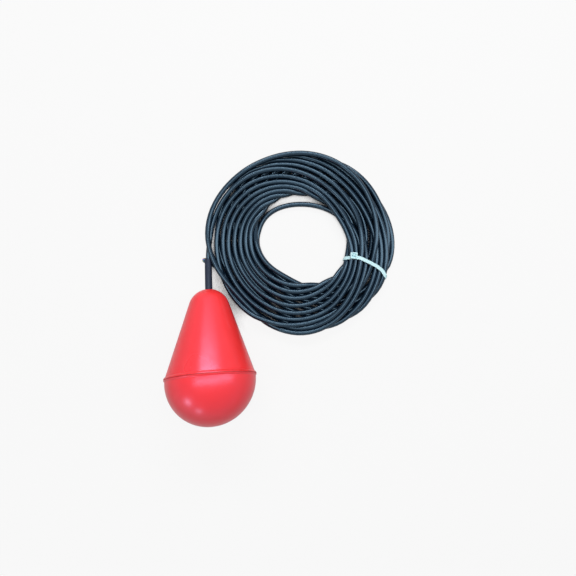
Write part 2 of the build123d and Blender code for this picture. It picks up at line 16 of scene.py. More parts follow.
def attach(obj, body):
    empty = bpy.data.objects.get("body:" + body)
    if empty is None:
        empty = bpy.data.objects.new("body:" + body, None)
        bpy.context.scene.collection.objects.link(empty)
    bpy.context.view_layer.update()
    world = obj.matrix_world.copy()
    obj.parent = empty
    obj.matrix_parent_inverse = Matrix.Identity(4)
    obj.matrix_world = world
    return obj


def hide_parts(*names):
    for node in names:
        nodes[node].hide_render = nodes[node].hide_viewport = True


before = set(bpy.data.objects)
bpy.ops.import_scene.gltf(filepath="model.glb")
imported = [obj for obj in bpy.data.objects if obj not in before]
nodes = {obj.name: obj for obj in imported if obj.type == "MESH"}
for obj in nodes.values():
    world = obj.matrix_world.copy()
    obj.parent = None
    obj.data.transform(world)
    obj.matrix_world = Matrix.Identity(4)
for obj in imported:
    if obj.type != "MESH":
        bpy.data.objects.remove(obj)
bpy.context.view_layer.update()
mm = 0.001

# %% [markdown]
# The camera comes first, because every later choice is judged through it. The real view is straight
# down from about half a metre, with the float's axis turned a few degrees from upright, so one
# rotation about the vertical is all that the camera needs. The lens follows from how wide a strip of
# the table the picture shows at that height. Everything that is made here, from the camera to the
# lamps, is data with an object that puts it into the scene, so one small function does that.

# %% Camera
def placed(name, data):
    """A new object in the scene that holds this data."""
    made = bpy.data.objects.new(name, data)
    bpy.context.scene.collection.objects.link(made)
    return made


camera_place = Vector((0.11025, 0.05605, 0.515))
camera_turn = math.radians(-5.7)
table_width_seen = 0.8352
sensor_width = 36.0
camera_data = bpy.data.cameras.new("view_from_above")
camera_data.sensor_width = sensor_width
camera_data.lens = sensor_width * camera_place.z / table_width_seen
camera = placed("view_from_above", camera_data)
camera.location = camera_place
camera.rotation_euler = (0, 0, camera_turn)
bpy.context.scene.camera = camera
print("lens in mm", round(camera_data.lens, 2))

# %% [markdown]
# The cable is one soft, round lead. A neat spiral would look like a spring, because real turns change
# lanes, cross each other and sink to the table. So the coil is planned in its cross-section first:
# compass direction and radius about the ring's middle, and height. The ring's body is given by its
# outer and inner edge in twelve directions, read round the real coil, in millimetres. On the far side
# the lowest turns spread a little further out, as the foot of a heap does.

# %% The ring's body
cable_diameter = 7.0
cable_radius = cable_diameter / 2
ring_middle = np.array([133.5, 119.0])
directions = [180, 150, 120, 90, 60, 30, 0, -27, -60, -90, -120, -150]
outer_edge = [124, 128, 131, 132.5, 134.5, 128.5, 129.5, 134, 142, 140, 124.5, 115]
inner_edge = [60, 62, 63, 62.5, 60.5, 60, 67, 66.5, 58.5, 51.5, 48.5, 49]
foot = [1.5, 4, 6, 5, 3, 1.5, 1.5, 0, 0, 0, 0, 0]


def around(values, degrees, blend=18):
    """A value given in the twelve directions, at any direction, with its corners blended."""
    order = np.argsort(directions)
    places = np.array(directions, float)[order]
    given = np.array(values, float)[order]
    shifts = np.linspace(-blend, blend, 7)
    return sum(np.interp(degrees + shift, places, given, period=360) for shift in shifts) / len(shifts)


print("ring widths in mm", [round(float(o - i), 1) for o, i in zip(outer_edge, inner_edge)])

# %% [markdown]
# The turns lie in two layers: a bottom layer on the table, and a top layer with one turn more, which
# rests in its grooves. The lanes are numbered once round that section, out to in on top and back out
# below. A turn keeps its lane on the straight-looking left side, and the whole bundle is carried round
# by a few lanes on the far side. That one slow twist gives the long crossing strands which make a
# hand-wound coil look real. Two turns are slack and lie outside the lanes, so the lane count stands
# still while they are laid.

# %% Lanes
top_lanes = 8
bottom_lanes = 7
lanes = top_lanes + bottom_lanes
stations_a_turn = 48
slack_turns = [0.75, 9.9]
whole_turns = lanes + len(slack_turns) - 1
stations_of_last_turn = 43
last_station = whole_turns * stations_a_turn + stations_of_last_turn
carried = [0, 0.4, 1.5, 3.8, 5.6, 6.2, 5.4, 4.8, 2.7, 0.7, 0.1, 0]
top_height = 9.5
climb = 8


def lane_place(lane, degrees):
    """Radius and height of a lane in one direction, and 1 for a lane on the table, 0 for one on top."""
    lane = np.mod(lane + 0.5, lanes) - 0.5
    on_top = 1 - 2 * lane / bottom_lanes
    below = -1 + (2 * (lane - top_lanes) + 1) / bottom_lanes
    across = np.clip(np.where(lane < top_lanes - 0.5, on_top, below), -1, 1)
    low = around(inner_edge, degrees) + cable_radius
    high = around(outer_edge, degrees) - cable_radius
    # A cable that changes layers climbs or sinks within a part of a lane, not in one step.
    rise = 1 / (1 + np.exp(-climb * (lane + 0.4))) / (1 + np.exp(climb * (lane - top_lanes + 0.6)))
    rise += 1 / (1 + np.exp(-climb * (lane - lanes + 0.6)))
    radius = (low + high) / 2 + (high - low) / 2 * across
    radius += around(foot, degrees) * np.clip(across, 0, 1) * (1 - rise)
    return radius, cable_radius + rise * top_height, 1 - rise


turn = np.arange(last_station + 1) / stations_a_turn
compass = 180 - 360 * turn
counted = turn - 1 - sum(np.clip(turn - first, 0, 1) for first in slack_turns)
radius, height, on_table = lane_place(counted + around(carried, compass), compass)
print("turns", round(turn[-1], 2), "stations", len(turn))

# %% [markdown]
# Some strands catch the eye: the lead that dives in, the loose turn that stands off at the left, the
# slack turn in the hole, the bulge at the far right with the strand above it, and the last turn, which
# crosses over the others. Each gets a short list of turn, direction, radius and height. The rest of the
# coil then has to make room for them.

# %% Strands that catch the eye
strands = {
    "lead": [(0, 180, 129.6, 11.6), (0, 177, 126.2, 11.2), (0, 171.4, 124, 10.8), (0, 164, 124.9, 10.4),
             (0, 156, 126.6, 10.4), (0, 149, 127.2, 10.6), (0, 138, 127.3, 11.8), (0, 128, 125.5, 14),
             (0, 119, 121.5, 16.5), (0, 110, 116, 17.5), (0, 100, 108, 17.5), (0, 90, 100, 17.5),
             (0, 80, 93, 17.5), (0, 68, 86, 17), (0, 55, 81.5, 17)],
    "loose_left": [(0, -120, 112, 11), (0, -132, 110.5, 12), (0, -150, 112, 14), (0, -162, 116.5, 16.5),
                   (0, -172, 122, 18.5), (1, 177.3, 129, 18), (1, 170, 137.5, 15.5), (1, 162, 144, 12),
                   (1, 154, 142.5, 10), (1, 146, 133.5, 10), (1, 137, 123, 11), (1, 120, 122.5, 13),
                   (1, 100, 124, 13), (1, 60, 126.5, 14), (1, 45, 121, 17), (1, 30, 115, 18.5),
                   (1, 15, 110.5, 17.5), (1, 0, 107.5, 15.5), (1, -25, 104.5, 14), (1, -60, 106, 12)],
    "slack_inside": [(9, -150, 57, 6), (10, 180, 63, 4), (10, 166, 67, 3.5), (10, 150, 68.5, 3.5),
                     (10, 133, 64.3, 3.5), (10, 118, 57.8, 3.5), (10, 103, 54.3, 3.5), (10, 88, 53, 3.5),
                     (10, 72, 54.3, 3.5), (10, 55, 57.5, 3.5), (10, 32, 64.5, 3.6), (10, 10, 77, 7),
                     (10, -10, 88, 8), (10, -30, 95, 7), (10, -60, 95, 4)],
    "bulge": [(11, 42, 118, 3.5), (11, 27, 117, 3.5), (11, 14, 118, 3.5), (11, 3, 139, 3.5),
              (11, -8, 148, 3.5), (11, -20, 142, 4), (11, -33, 131, 4.5), (11, -45, 127, 4.5)],
    "bulge_above": [(12, 35, 120, 9), (12, 15, 119.5, 8), (12, 2, 129, 7), (12, -10, 134, 7),
                    (12, -24, 131, 8), (12, -40, 125, 9)],
    "outer_left": [(15, -150, 113.5, 3.5), (15, -168, 118.5, 3.5), (16, 172, 121.5, 3.5),
                   (16, 155, 122, 3.5), (16, 135, 121.5, 4)],
    "last_turn": [(16, 50, 92, 15), (16, 30, 89, 16), (16, 5, 84.5, 16), (16, -15, 83.5, 15.5),
                  (16, -27, 85.5, 15.5), (16, -45, 95, 18), (16, -60, 107, 18.5), (16, -75, 119.5, 16),
                  (16, -90, 128.5, 11), (16, -105, 127.5, 6), (16, -120, 121.5, 3.6),
                  (16, -142.5, 116, 3.5)],
}
print("places given for", ", ".join(f"{name} {len(route)}" for name, route in strands.items()))

# %% [markdown]
# A cable can't jump from its lane to its list and back, so the pull of a list fades in and out over a
# short part of a turn, and with no fade at the cable's own two ends. How firmly each station is pinned
# is kept as well, because the settling that comes next has to respect it.

# %% Pin these strands
pinned = np.zeros(len(turn))
fade = 0.08


def pin(route):
    """Pins the stations along one strand's route, more and more over its first and last stretch."""
    places = [number + (180 - direction) / 360 for number, direction, _, _ in route]
    inside = (turn >= places[0]) & (turn <= places[-1])
    start = np.ones(len(turn)) if places[0] <= 0 else (turn - places[0]) / fade
    stop = np.ones(len(turn)) if places[-1] >= turn[-1] else (places[-1] - turn) / fade
    share = np.clip(np.minimum(start, stop), 0, 1)
    share = np.where(inside, share * share * (3 - 2 * share), 0)
    radius[:] += share * (np.interp(turn, places, [point[2] for point in route]) - radius)
    height[:] += share * (np.interp(turn, places, [point[3] for point in route]) - height)
    pinned[:] = np.maximum(pinned, share)


for route in strands.values():
    pin(route)
print("pinned stations", int((pinned > 0.5).sum()), "of", len(turn))

# %% [markdown]
# Now the turns are let down. A full cable simulation would take minutes, and turns that are almost
# circles only push each other across the section. So all strands that pass one direction are treated
# as discs. Two small steps are enough for that: one smooths a value along the cable, and one pushes
# discs apart that lie in each other. Under the tie the strands stay a strap's thickness off the table,
# and the table's height under them rises to that over a stretch on both sides.

# %% Two steps of the settling
tie_direction = -24.5
strap_thickness = 1.2
under_strap = strap_thickness + 0.2
raised_up_to, raised_slope = 24, 14
rings = -(-len(turn) // stations_a_turn)
spare = rings * stations_a_turn - len(turn)
same = np.eye(rings, dtype=bool)[:, :, None]
off_tie = np.abs((compass - tie_direction + 180) % 360 - 180)
floor_height = cable_radius + under_strap * np.clip((raised_up_to - off_tie) / raised_slope, 0, 1)


def by_direction(values):
    """The stations' values in rows of one turn, so that a column holds what passes one direction."""
    return np.concatenate([values, np.full(spare, np.nan)]).reshape(rings, stations_a_turn)


def smoothed(values, share):
    """Each value drawn towards the middle of its two neighbours along the cable."""
    values[1:-1] += share * ((values[:-2] + values[2:]) / 2 - values[1:-1])
    return values


def push_apart(radius, height, reach, share):
    """Moves strands that lie nearer than reach away from each other, and off the table's top."""
    rows, levels = by_direction(radius), by_direction(height)
    across = rows[:, None] - rows[None]
    up = levels[:, None] - levels[None]
    distance = np.sqrt(across**2 + up**2)
    overlap = np.where(same | ~(distance < reach), 0, reach - distance)
    distance = np.where(distance > 1e-6, distance, 1)
    rows = rows + share * np.nansum(np.where(overlap > 0, overlap * across / distance, 0), 1)
    levels = levels + share * np.nansum(np.where(overlap > 0, overlap * up / distance, 0), 1)
    return rows.reshape(-1)[:len(turn)], np.maximum(levels.reshape(-1)[:len(turn)], floor_height)


print("strands in one direction, at most", rings)

# %% [markdown]
# Each round lets the strands sink a little, draws them back to their own lane, smooths them and pushes
# them apart. Pinned strands are drawn back the most, and those on the table more than those on top,
# because a heap holds its foot. The last rounds only smooth and part, with a hair less room, so that
# touching strands really touch.

# %% Let the turns settle
settling_rounds, closing_rounds = 420, 50
sink = 0.1
lane_pull, table_pull, pinned_pull = 0.03, 0.12, 0.15
for step in range(6):
    radius = smoothed(radius, 0.3)
    height = smoothed(height, 0.3)
wanted = radius.copy()
wanted_height = height.copy()
for step in range(settling_rounds):
    height -= sink
    height += pinned_pull * pinned * (wanted_height - height)
    radius += np.maximum(lane_pull + pinned_pull * pinned, table_pull * on_table) * (wanted - radius)
    radius = wanted + smoothed(radius - wanted, 0.3)
    radius = smoothed(radius, 0.08)
    height = smoothed(height, 0.35)
    for repeat in range(3):
        radius, height = push_apart(radius, height, cable_diameter + 0.1, 0.4)
for step in range(closing_rounds):
    radius = smoothed(radius, 0.14)
    height = smoothed(height, 0.3)
    radius, height = push_apart(radius, height, cable_diameter - 0.1, 0.35)
coil = np.stack([ring_middle[0] + radius * np.cos(np.radians(compass)),
                 ring_middle[1] + radius * np.sin(np.radians(compass)), height], axis=1)
print("highest strand top in mm", round(float(height.max()) + cable_radius, 1))

# %% [markdown]
# The cable becomes one NURBS curve that follows all of its stations, with the lead in front and the
# free end behind, and a round bevel gives it its thickness. A curve keeps the strand perfectly round
# and costs few points. The curve's ends touch their last points, so the lead starts exactly in the
# sleeve's mouth. The bevel is one metre deep and each point's radius is the cable's, because a curve's
# own bounding box counts a point's radius as metres. The length printed here is summed along the curve's
# points, and is that of this line to about a centimetre.

# %% The cable
sleeve_end = (2.104, 108.407, 12.031)
lead_points = [sleeve_end, (2.9, 116.5, 12.05), (4.9, 126.5, 11.9)]
tail_points = [(32, 61, 3.5), (25, 76, 3.5), (17.6, 90.6, 3.5), (8, 100.4, 3.5), (-5.6, 107.8, 3.5)]
cable_points = np.array(lead_points + [tuple(point) for point in coil[1:]] + tail_points) * mm


def strand_along(name, points, strand_radius):
    """A round strand along a NURBS curve with these control points, in metres."""
    data = bpy.data.curves.new(name, "CURVE")
    data.dimensions = "3D"
    data.bevel_depth = 1.0
    data.bevel_resolution = 4
    data.resolution_u = 2
    data.use_fill_caps = True
    spline = data.splines.new("NURBS")
    spline.points.add(len(points) - 1)
    spline.points.foreach_set("co", np.hstack([points, np.ones((len(points), 1))]).ravel())
    spline.points.foreach_set("radius", np.full(len(points), strand_radius))
    spline.order_u = 3
    spline.use_endpoint_u = True
    return placed(name, data)


cable = strand_along("coiled_cable", cable_points, cable_radius * mm)
steps = np.linalg.norm(np.diff(cable_points, axis=0), axis=1)
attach(cable, "float")
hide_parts("cable_coil", "cable_lead", "cable_tail")
print("cable points", len(cable_points), "length in m", round(float(steps.sum()), 3))

# %% [markdown]
# One narrow nylon tie holds the coil. Seen from above the band bows a little, and that line is given
# here from the inner edge of the ring to its outer edge. A strand crosses it in a direction that
# depends on the strand's own radius there, so the crossings are found in a few rounds.

# %% Where the strands cross the tie
tie_line = np.array([(191.7, 89.3), (195.5, 89.9), (205, 89.6), (214.1, 87.6), (226.7, 80.5),
                     (236.9, 74.1), (244.2, 67.4), (248, 60.2), (250.8, 54.4)])
tie_radii = np.hypot(*(tie_line - ring_middle).T)
tie_directions = np.degrees(np.arctan2(*(tie_line - ring_middle).T[::-1]))
nearest_station = int(round((180 - tie_direction) / 360 * stations_a_turn))
crossing = turn[np.arange(nearest_station, len(turn), stations_a_turn)]
for repeat in range(4):
    directions_there = np.interp(np.interp(crossing, turn, radius), tie_radii, tie_directions)
    crossing = np.floor(crossing) + (180 - directions_there) / 360
print("strands under the tie", len(crossing))

# %% [markdown]
# A real tie is a taut band: seen along the cable it is the shortest loop round the strands. So the loop
# is found as the convex outline of the strands' discs where the tie crosses them. It is then divided
# into even steps and smoothed, because nylon doesn't bend in sharp corners.

# %% The tie's loop round the strands
strap_gap = 0.1
disc_points = 24
loop_steps = 120


def convex_outline(points):
    """The corners of the convex outline of points in a plane, in order."""
    points = sorted(map(tuple, points))
    outline = []
    for run in (points, points[::-1]):
        start = len(outline)
        for point in run:
            while len(outline) >= start + 2:
                before, last = outline[-2], outline[-1]
                bend = (last[0] - before[0]) * (point[1] - before[1])
                bend -= (last[1] - before[1]) * (point[0] - before[0])
                if bend > 0:
                    break
                outline.pop()
            outline.append(point)
        outline.pop()
    return np.array(outline)


circle = np.linspace(0, 2 * math.pi, disc_points, endpoint=False)
disc = (cable_radius + strap_gap) * np.stack([np.cos(circle), np.sin(circle)], axis=1)
section = np.concatenate([disc + (np.interp(place, turn, radius), np.interp(place, turn, height))
                          for place in crossing])
loop = convex_outline(section)
loop[:, 1] = np.maximum(loop[:, 1], strap_thickness + strap_gap)
closed = np.vstack([loop, loop[:1]])
gone = np.concatenate([[0], np.cumsum(np.linalg.norm(np.diff(closed, axis=0), axis=1))])
along = np.linspace(0, gone[-1], loop_steps, endpoint=False)
loop = np.stack([np.interp(along, gone, closed[:, side]) for side in (0, 1)], axis=1)
for repeat in range(2):
    loop = (np.roll(loop, 1, axis=0) + 2 * loop + np.roll(loop, -1, axis=0)) / 4
print("loop in mm", round(float(gone[-1]), 1))

# %% [markdown]
# The loop so far is a radius and a height. It now goes back into the frame: above the strands the band
# follows the bowed line, and underneath it runs straight. Each point of that spine then gets two
# directions, one along the cable for the band's width and one outwards for its thickness.

# %% The band's way in the frame
bow_start, bow_depth = 4, 8


def tie_point(radial, level):
    """A point of the loop in the frame, from its radius and height, and the band's way in plan."""
    bowed = np.array([np.interp(radial, tie_radii, tie_line[:, side]) for side in (0, 1)])
    share = (radial - tie_radii[0]) / (tie_radii[-1] - tie_radii[0])
    straight = tie_line[0] + share * (tie_line[-1] - tie_line[0])
    up = np.clip((level - bow_start) / bow_depth, 0, 1)
    return np.array([*(straight + (bowed - straight) * up), level])


spine = np.array([tie_point(*point) for point in loop])
run = np.roll(spine, -1, axis=0) - np.roll(spine, 1, axis=0)
run /= np.linalg.norm(run, axis=1)[:, None]
flat_way = tie_line[-1] - tie_line[0]
across = np.array([flat_way[1], -flat_way[0], 0]) / np.linalg.norm(flat_way)
side_way = across - run * (run @ across)[:, None]
side_way /= np.linalg.norm(side_way, axis=1)[:, None]
out_way = np.cross(side_way, run)
out_way *= np.sign(((spine - spine.mean(axis=0)) * out_way).sum(axis=1))[:, None]
print("band's highest point in mm", round(float(spine[:, 2].max()), 1))

# %% [markdown]
# The strap is swept along that spine as a thin band with rounded edges. Its fine teeth lie on the inner
# face and stay out of sight, so both faces are plain here. A mesh made ring by ring gives full control
# over the section.

# %% The strap
strap_width = 4.8
edge = strap_width / 2
rounding = 0.3
flat = edge - rounding
inset = 1.5
profile = [(-flat, 0), (flat, 0), (edge, rounding), (edge, strap_thickness - rounding),
           (flat, strap_thickness), (inset, strap_thickness), (-inset, strap_thickness),
           (-flat, strap_thickness), (-edge, strap_thickness - rounding), (-edge, rounding)]
strap_mesh = bpy.data.meshes.new("nylon_strap")
verts = []
faces = []
for number in range(loop_steps):
    for sideways, outwards in profile:
        verts.append((spine[number] + side_way[number] * sideways + out_way[number] * outwards) * mm)
    for corner in range(len(profile)):
        following = (corner + 1) % len(profile)
        here, there = number * len(profile), (number + 1) % loop_steps * len(profile)
        faces.append((here + corner, here + following, there + following, there + corner))
strap_mesh.from_pydata(verts, [], faces)
bmesh_strap = bmesh.new()
bmesh_strap.from_mesh(strap_mesh)
bmesh.ops.recalc_face_normals(bmesh_strap, faces=bmesh_strap.faces)
bmesh_strap.to_mesh(strap_mesh)
bmesh_strap.free()
strap_mesh.shade_smooth()
strap_mesh.set_sharp_from_angle(angle=math.radians(35))
strap = placed("nylon_strap", strap_mesh)
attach(strap, "float")
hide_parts("cable_tie")
print("strap faces", len(faces))

# %% [markdown]
# The tie's head and its trimmed strap end are small mouldings. They start as plain boxes because that
# is what the mould starts as, and cuts and a bevel then make them the real shape. Both are modifiers
# here, and their result is put into the mesh at once, so that the piece holds nothing but its own form.

# %% Boxes, cuts and bevels
def box(name, size, place=(0, 0, 0)):
    """A plain box, with its size and its middle in millimetres."""
    body = bmesh.new()
    bmesh.ops.create_cube(body, size=1, matrix=Matrix.Translation(place) @ Matrix.Diagonal((*size, 1)))
    mesh = bpy.data.meshes.new(name)
    body.to_mesh(mesh)
    body.free()
    return placed(name, mesh)


def applied(piece):
    """Puts the result of a piece's modifiers into its own mesh."""
    graph = bpy.context.evaluated_depsgraph_get()
    final = bpy.data.meshes.new_from_object(piece.evaluated_get(graph))
    piece.modifiers.clear()
    piece.data = final
    return piece


def cut_out(piece, size, place):
    """Takes a smaller box out of a piece."""
    tool = box(f"{piece.name}_cut", size, place)
    cutter = piece.modifiers.new("cut", "BOOLEAN")
    cutter.object = tool
    cutter.solver = "EXACT"
    applied(piece)
    bpy.data.objects.remove(tool)


def bevelled(piece, width, segments=2):
    """Rounds a piece's sharp edges."""
    bevel = piece.modifiers.new("edges", "BEVEL")
    bevel.width = width
    bevel.segments = segments
    bevel.limit_method = "ANGLE"
    return applied(piece)


print("helpers for mouldings", [made_by.__name__ for made_by in (box, applied, cut_out, bevelled)])

# %% [markdown]
# The head is a block with a window for the strap through it and a pocket in its top, and the trimmed
# end of the strap stands in that pocket. The head sits near the coil's inner edge with its underside a
# hair above the strands, so it takes its height from the nearest point on the upper side of the band.

# %% The tie's head
head_size = Vector((9.4, 8.6, 6.0))
head_place = np.array([205.9, 91.8])
head_gap = 0.3
head_turn = math.atan2(-0.16, 1)
upper_side = spine[spine[:, 2] > spine[:, 2].max() - 8]
off_head = np.hypot(*(upper_side[:, :2] - ring_middle).T) - float(np.hypot(*(head_place - ring_middle)))
nearest = upper_side[np.argmin(np.abs(off_head))]
head = box("tie_head", head_size)
cut_out(head, size=(5.2, 10, 1.9), place=(0, 0, -0.6))
cut_out(head, size=(5.6, 5.2, 3.4), place=(0, 0, 2.6))
bevelled(head, 0.45)
stub = bevelled(box("tie_tail_stub", (4.6, strap_thickness, 2.2)), 0.2)
head_seat = Matrix.Translation((*head_place, nearest[2] + head_size.z / 2 + head_gap))
head_seat = Matrix.Scale(mm, 4) @ head_seat @ Matrix.Rotation(head_turn, 4, "Z")
head.data.transform(head_seat)
stub.data.transform(head_seat @ Matrix.Translation((0, 0.4, head_size.z / 2 + 0.2)))
for piece in (head, stub):
    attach(piece, "float")
print("head on the strap at", [round(float(value), 1) for value in nearest])

# %% [markdown]
# The three cores and their copper at the free end are already in the solid model.

# %% [markdown]
# Finishes are made from noise and simple sums, and long chains of nodes are hard to read. So one small
# class stands for an output socket: Python's own operators on it add Math nodes, and one method adds
# any other kind of node. Numbers on their own stay plain Python. Colours go through a Mix node, because
# a Math node would turn them grey.

# %% Node sums as Python sums
class Link:
    """An output socket of a finish's nodes, on which Python's operators add Math nodes."""

    def __init__(self, tree, socket):
        self.tree = tree
        self.socket = socket

    def node(self, kind, settings=None, values=None, output=0):
        """Adds a node: its settings come first, then the values or links of its sockets."""
        made = self.tree.nodes.new(kind)
        for name, value in (settings or {}).items():
            if name == "stops":
                elements = made.color_ramp.elements
                for element, (place, colour) in zip(elements, value):
                    element.position, element.color = place, colour
                for place, colour in value[len(elements):]:
                    elements.new(place).color = colour
            else:
                setattr(made, name, value)
        for name, value in (values or {}).items():
            if isinstance(value, Link):
                self.tree.links.new(value.socket, made.inputs[name])
            else:
                made.inputs[name].default_value = value
        return Link(self.tree, made.outputs[output] if len(made.outputs) else None)

    def math(self, operation, first, second):
        """A Math node on two numbers or links."""
        return self.node("ShaderNodeMath", {"operation": operation}, {0: first, 1: second})

    def __add__(self, other):
        return self.math("ADD", self, other)

    def __radd__(self, other):
        return self.math("ADD", other, self)

    def __sub__(self, other):
        return self.math("SUBTRACT", self, other)

    def __rsub__(self, other):
        return self.math("SUBTRACT", other, self)

    def __mul__(self, other):
        return self.math("MULTIPLY", self, other)

    def __rmul__(self, other):
        return self.math("MULTIPLY", other, self)

    def noise(self, scale, detail=3.0, roughness=0.5):
        """Cloudy noise about 0.5, with its scale in lumps a metre."""
        return self.node("ShaderNodeTexNoise", {}, {"Vector": self, "Scale": scale, "Detail": detail,
                                                   "Roughness": roughness})

    def above(self, level, softness):
        """A mask that is 1 where this value is above a level, with a soft edge."""
        return self.node("ShaderNodeMapRange", {"clamp": True},
                         {"Value": self, "From Min": level - softness, "From Max": level + softness})

    def stretched(self, factors):
        """This place with each direction multiplied, so that noise on it becomes streaks."""
        return self.node("ShaderNodeVectorMath", {"operation": "MULTIPLY"}, {0: self, 1: factors})

    def blend(self, first, second):
        """Two colours mixed by this value. A Mix node's sockets 6 and 7 and output 2 are the colours'."""
        return self.node("ShaderNodeMix", {"data_type": "RGBA"}, {0: self, 6: first, 7: second}, output=2)

    def bump(self, strength, distance):
        """This value as a relief."""
        return self.node("ShaderNodeBump", {}, {"Height": self, "Strength": strength, "Distance": distance})


print("operators", [name for name in vars(Link) if name.endswith(("add__", "sub__", "mul__"))])

# %% [markdown]
# Each finish is one material with a Principled shader. Places come from the object's own coordinates,
# which here are the frame's metres, so a lump of noise has the same real size on every piece. What
# never changes over the surface is set on the shader's own socket, and only what varies is linked.

# %% A finish
def finish(name, constants):
    """A new material: its shader's fixed values are set, and its shader and places are given back."""
    material = bpy.data.materials.new(name)
    material.use_nodes = True
    tree = material.node_tree
    shader = tree.nodes["Principled BSDF"]
    for socket, value in constants.items():
        shader.inputs[socket].default_value = value
    return material, shader, Link(tree, None).node("ShaderNodeTexCoord", output="Object")


def feed(shader, socket, link):
    """Links a varying value to one of the shader's sockets."""
    link.tree.links.new(link.socket, shader.inputs[socket])


def dress(material, pieces):
    """Gives a finish to CAD nodes by name, or to pieces made here."""
    for piece in pieces:
        made = nodes[piece] if isinstance(piece, str) else piece
        made.data.materials.clear()
        made.data.materials.append(material)
        if made.type == "MESH":
            made["finish"] = material.name


print("finish helpers", [made_by.__name__ for made_by in (finish, feed, dress)])

# %% [markdown]
# The float is blow-smooth polypropylene in a warm coral red. Real mouldings of it are glossy but never
# perfect: the skin waves by hundredths of a millimetre, which breaks reflections into soft patches, the
# colour drifts a little, and handling leaves a fine haze. Low noise for the wave, fine noise for the
# skin, and a scuff mask for the haze say all of that.

# %% Glossy red moulding
red, shader, place = finish("glossy_red_moulding", {
    "IOR": 1.49, "Specular IOR Level": 0.76, "Specular Tint": (0.8, 0.58, 1.0, 1),
    "Subsurface Weight": 0.12, "Subsurface Scale": 0.003, "Subsurface Radius": (1.0, 0.15, 0.12),
    "Coat Roughness": 0.2})
drift = place.noise(14, 2)
grain = place.noise(2600, 2)
wave = place.noise(34, 1.5)
scuffs = place.stretched((1, 0.35, 1)).noise(420, 6, 0.7).above(0.68, 0.05)
colour = drift.blend((0.87, 0.026, 0.024, 1), (0.92, 0.038, 0.036, 1))
colour = (scuffs * 0.12).blend(colour, (0.96, 0.20, 0.19, 1))
feed(shader, "Base Color", colour)
feed(shader, "Roughness", 0.24 + drift * 0.1 + scuffs * 0.16)
feed(shader, "Coat Weight", 0.04 - scuffs * 0.03)
feed(shader, "Normal", (wave + grain * 0.012).bump(0.22, 0.0016))
dress(red, ["upper_shell", "lower_shell"])
print("red nodes", len(red.node_tree.nodes))

# %% [markdown]
# Between the two halves lies a thin, darker welding ring. It was squeezed out a little when the halves
# were joined, so it is duller than the mouldings and uneven in tone.

# %% Welding ring
seam, shader, place = finish("welding_ring", {"IOR": 1.49})
smear = place.noise(180, 4)
feed(shader, "Base Color", smear.blend((0.38, 0.010, 0.016, 1), (0.62, 0.026, 0.034, 1)))
feed(shader, "Roughness", 0.42 + smear * 0.25)
feed(shader, "Normal", place.noise(900, 3).bump(0.2, 0.0004))
dress(seam, ["seam_ring"])
print("ring nodes", len(seam.node_tree.nodes))

# %% [markdown]
# The cable's jacket is plasticised PVC in a blue-black. It is drawn through a die, so its skin is even
# and glossy. The thin bright line that each strand shows needs a smooth surface, so the roughness stays
# low, and a faint cloudiness and patches of dust raise it a little.

# %% Blue-black jacket
jacket, shader, place = finish("blue_black_jacket", {
    "IOR": 1.5, "Specular IOR Level": 0.60, "Specular Tint": (0.48, 0.76, 1.0, 1)})
cloud = place.noise(60, 4, 0.6)
dust = place.noise(520, 5, 0.65).above(0.63, 0.08)
colour = cloud.blend((0.0025, 0.0075, 0.0165, 1), (0.005, 0.0145, 0.030, 1))
feed(shader, "Base Color", (dust * 0.06).blend(colour, (0.10, 0.14, 0.19, 1)))
feed(shader, "Roughness", 0.11 + cloud * 0.06 + dust * 0.12)
feed(shader, "Normal", place.noise(1900, 2).bump(0.1, 0.0003))
dress(jacket, [cable, "inner_cable"])
print("jacket nodes", len(jacket.node_tree.nodes))

# %% [markdown]
# The sleeve that stiffens the cable where it leaves the float is a rubbery moulding in a greyer,
# slightly violet black. It is duller than the jacket, and its fine skin scatters the light. The bush
# that seals the cable inside the float is a softer, still duller rubber in a plain dark grey.

# %% Rubber sleeve and bush
rubber, shader, place = finish("rubber_sleeve", {
    "IOR": 1.5, "Specular IOR Level": 0.34, "Specular Tint": (0.7, 0.85, 1.0, 1)})
cloud = place.noise(90, 4)
feed(shader, "Base Color", cloud.blend((0.006, 0.009, 0.021, 1), (0.012, 0.017, 0.036, 1)))
feed(shader, "Roughness", 0.42 + cloud * 0.14)
feed(shader, "Normal", place.noise(2400, 3).bump(0.25, 0.0003))
dress(rubber, ["strain_relief_sleeve"])
bush, shader, place = finish("soft_bush_rubber", {"IOR": 1.5})
cloud = place.noise(140, 3)
feed(shader, "Base Color", cloud.blend((0.018, 0.018, 0.019, 1), (0.040, 0.039, 0.040, 1)))
feed(shader, "Roughness", 0.62 + cloud * 0.2)
feed(shader, "Normal", place.noise(1800, 3).bump(0.3, 0.0003))
dress(bush, ["gland_bush"])
print("rubber nodes", len(rubber.node_tree.nodes), "and", len(bush.node_tree.nodes))

# %% [markdown]
# The tie is natural nylon: milky, a little green-blue, and soft to the light. A faint cloudiness
# stands for the moisture in the nylon.

# %% Natural nylon
nylon, shader, place = finish("natural_nylon", {"IOR": 1.53})
cloud = place.noise(260, 3)
feed(shader, "Base Color", cloud.blend((0.50, 0.76, 0.81, 1), (0.58, 0.82, 0.86, 1)))
feed(shader, "Roughness", 0.42 + cloud * 0.1)
feed(shader, "Normal", place.noise(1500, 2).bump(0.03, 0.0001))
dress(nylon, [strap, head, stub])
print("nylon nodes", len(nylon.node_tree.nodes))

# %% [markdown]
# Inside the closed float sit the parts that nobody sees until it is opened: a steel ball in a guide
# tube, a small snap switch, the crimped cores and the gland. They get finishes too, because the model
# can be opened. One helper covers the moulded plastics, which differ in colour and gloss, and one the
# metals, which differ in colour, gloss and how they were worked.

